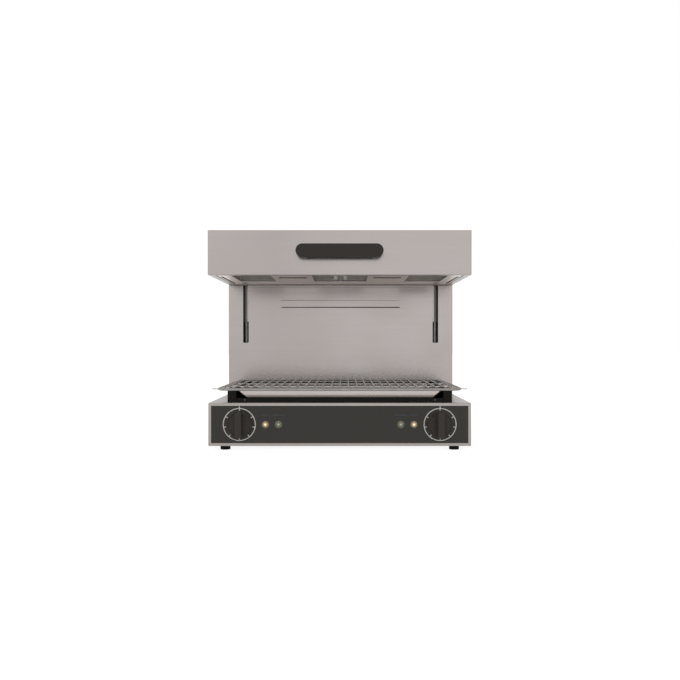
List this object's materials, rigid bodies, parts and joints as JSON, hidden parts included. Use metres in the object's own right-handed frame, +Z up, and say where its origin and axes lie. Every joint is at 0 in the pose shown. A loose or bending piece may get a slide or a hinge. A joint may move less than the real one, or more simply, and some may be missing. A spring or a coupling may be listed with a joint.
{
  "type": "salamander grill",
  "caption": "Lift-top electric salamander grill (cheese melter): base with two heat knobs and pilot lamps, wire rack over a drip tray, and a hood sliding on a rear column.",
  "frame": {"origin": "centre of the footprint of the whole, on the floor under the feet", "axes": "+Z up, the front with the knobs faces -Y, +X to the right seen from the front"},
  "size_m": [0.6, 0.5372, 0.5008],
  "materials": {
    "stainless": "brushed stainless sheet, fine horizontal grain",
    "reflector_steel": "bright reflector sheet",
    "zinc_steel": "zinc plated steel",
    "chrome": "chromed steel wire and rod",
    "black_enamel": "black enamel, satin",
    "fascia_black": "dark grey-brown overlay, satin",
    "black_plastic": "black moulded thermoset plastic",
    "cream_print": "screen printed lines",
    "dark_steel": "oxidised element sheath",
    "lamp_body": "lamp body",
    "amber_lens": "amber lamp lens, lit",
    "green_lens": "green lamp lens, unlit",
    "rubber": "black rubber",
    "bronze": "sintered bronze",
    "cream_ceramic": "terminal ceramic and regulator case",
    "mineral_wool": "mineral wool slab"
  },
  "bodies": {
    "cabinet": {"base_casing": "stainless", "base_floor": "zinc_steel", "fascia_panel": "fascia_black", "control_panel": "zinc_steel", "column_front": "stainless", "column_top": "stainless", "rear_cover": "stainless", "guide_base": "zinc_steel", "guide_top": "zinc_steel", "strut_mount": "zinc_steel", "left_guide_rod": "chrome", "right_guide_rod": "chrome", "left_strut_rod": "chrome", "right_strut_rod": "chrome", "left_regulator": "cream_ceramic", "right_regulator": "cream_ceramic", "left_dial_scale": "cream_print", "right_dial_scale": "cream_print", "lamp_marks": "cream_print", "left_lamp_bodies": "lamp_body", "right_lamp_bodies": "lamp_body", "amber_lenses": "amber_lens", "green_lenses": "green_lens", "left_tray_rail": "black_enamel", "right_tray_rail": "black_enamel", "front_tray_bar": "black_enamel", "rear_tray_bar": "black_enamel", "rail_screws": "zinc_steel", "cable_gland": "black_plastic", "terminal_block": "cream_ceramic", "feet": "rubber", "foot_screws": "zinc_steel", "cover_screws": "zinc_steel"},
    "hood": {"hood_shell": "stainless", "hood_back": "stainless", "hood_bottom": "stainless", "left_reflector": "reflector_steel", "right_reflector": "reflector_steel", "left_element": "dark_steel", "right_element": "dark_steel", "element_supports": "dark_steel", "insulation": "mineral_wool", "left_arm": "zinc_steel", "right_arm": "zinc_steel", "carriage": "zinc_steel", "left_sleeve": "black_enamel", "right_sleeve": "black_enamel", "guide_bushes": "bronze", "left_strut_tube": "black_enamel", "right_strut_tube": "black_enamel", "hood_bolts": "zinc_steel", "handle": "black_plastic", "handle_screws": "zinc_steel"},
    "left_knob": {"left_knob": "black_plastic", "left_spindle": "zinc_steel"},
    "right_knob": {"right_knob": "black_plastic", "right_spindle": "zinc_steel"},
    "drip_tray": {"drip_tray": "stainless"},
    "wire_rack": {"wire_rack": "chrome"}
  },
  "joints": [
    {"name": "hood_lift", "type": "slide", "parent": "cabinet", "child": "hood", "axis": [0, 0, 1], "range_m": [-0.155, 0], "stiffness_N_per_m": 60, "springref_m": 1.56},
    {"name": "left_knob_turn", "type": "hinge", "parent": "cabinet", "child": "left_knob", "pos_m": [-0.229, -0.2214, 0.05825], "axis": [0, 1, 0], "range_deg": [0, 300]},
    {"name": "right_knob_turn", "type": "hinge", "parent": "cabinet", "child": "right_knob", "pos_m": [0.229, -0.2214, 0.05825], "axis": [0, 1, 0], "range_deg": [0, 300]},
    {"name": "drip_tray_pull", "type": "slide", "parent": "cabinet", "child": "drip_tray", "axis": [0, -1, 0], "range_m": [0, 0.28]},
    {"name": "wire_rack_lift", "type": "slide", "parent": "cabinet", "child": "wire_rack", "axis": [0, 0, 1], "range_m": [0, 0.06]}
  ]
}
